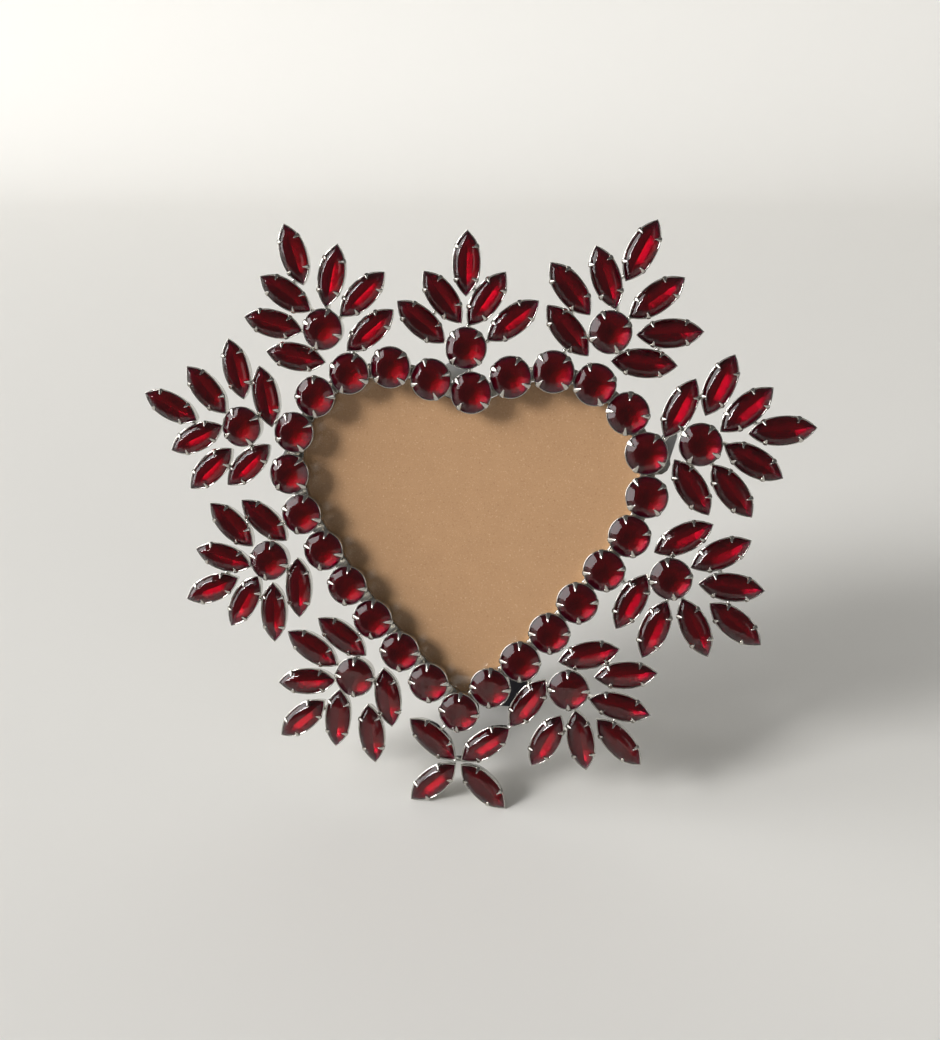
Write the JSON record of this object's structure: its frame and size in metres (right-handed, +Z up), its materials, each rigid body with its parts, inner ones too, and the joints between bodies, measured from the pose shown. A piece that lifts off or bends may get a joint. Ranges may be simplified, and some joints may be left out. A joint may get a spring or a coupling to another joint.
{
  "type": "heart-shaped photo frame",
  "caption": "Heart-shaped table photo frame edged with red glass stones in claw cups, with leaf sprays round it, a removable velvet back and a folding easel leg.",
  "frame": {"origin": "on the table, midway between the lowest front petals' front and the easel foot's heel, and midway across the width", "axes": "+X to the viewer's right as the picture is seen, +Y to the rear, +Z up"},
  "size_m": [0.165, 0.0504, 0.1401],
  "materials": {
    "plated_metal": "silver plate, slightly darkened, bright on the rims and claws",
    "solder": "bright soft solder, smooth and rounded",
    "red_glass": "polished, deep wine red, foiled behind",
    "clear_glass": "clear sheet glass, polished",
    "kraft_card": "plain brown kraft, matt, small fibres",
    "hardboard": "pressed fibre, matt",
    "velvet": "short black velvet pile",
    "steel_hardware": "zinc plated, satin"
  },
  "bodies": {
    "frame": {"heart_pan": "plated_metal", "row_settings": "plated_metal", "top_spray_settings": "plated_metal", "upper_right_spray_settings": "plated_metal", "upper_left_spray_settings": "plated_metal", "side_right_spray_settings": "plated_metal", "side_left_spray_settings": "plated_metal", "lower_right_spray_settings": "plated_metal", "lower_left_spray_settings": "plated_metal", "base_right_spray_settings": "plated_metal", "base_left_spray_settings": "plated_metal", "bottom_spray_settings": "plated_metal", "row_stones": "red_glass", "top_spray_stones": "red_glass", "upper_right_spray_stones": "red_glass", "upper_left_spray_stones": "red_glass", "side_right_spray_stones": "red_glass", "side_left_spray_stones": "red_glass", "lower_right_spray_stones": "red_glass", "lower_left_spray_stones": "red_glass", "base_right_spray_stones": "red_glass", "base_left_spray_stones": "red_glass", "bottom_spray_stones": "red_glass", "solder_joints": "solder", "glass_pane": "clear_glass", "picture_card": "kraft_card", "button_rivets": "steel_hardware"},
    "back": {"back_board": "hardboard", "back_velvet": "velvet", "hinge_fixed_leaf": "steel_hardware", "hinge_pin": "steel_hardware", "back_rivets": "steel_hardware"},
    "leg": {"easel_leg": "velvet", "hinge_moving_leaf": "steel_hardware", "leg_rivets": "steel_hardware"},
    "top_button": {"turn_button_top": "steel_hardware"},
    "right_button": {"turn_button_right": "steel_hardware"},
    "left_button": {"turn_button_left": "steel_hardware"}
  },
  "joints": [
    {"name": "back_slide", "type": "slide", "parent": "frame", "child": "back", "axis": [0, 0.9681, -0.2504], "range_m": [0, 0.012]},
    {"name": "leg_hinge", "type": "hinge", "parent": "back", "child": "leg", "pos_m": [0.00053, 0.00633, 0.07342], "axis": [-1, 0, 0], "range_deg": [0, 28]},
    {"name": "top_button_turn", "type": "hinge", "parent": "frame", "child": "top_button", "pos_m": [0.00053, 0.01167, 0.09968], "axis": [0, -0.9681, 0.2504], "range_deg": [0, 120]},
    {"name": "right_button_turn", "type": "hinge", "parent": "frame", "child": "right_button", "pos_m": [0.04643, 0.00732, 0.08283], "axis": [0, -0.9681, 0.2504], "range_deg": [0, 120]},
    {"name": "left_button_turn", "type": "hinge", "parent": "frame", "child": "left_button", "pos_m": [-0.04538, 0.00732, 0.08283], "axis": [0, -0.9681, 0.2504], "range_deg": [0, 120]}
  ]
}
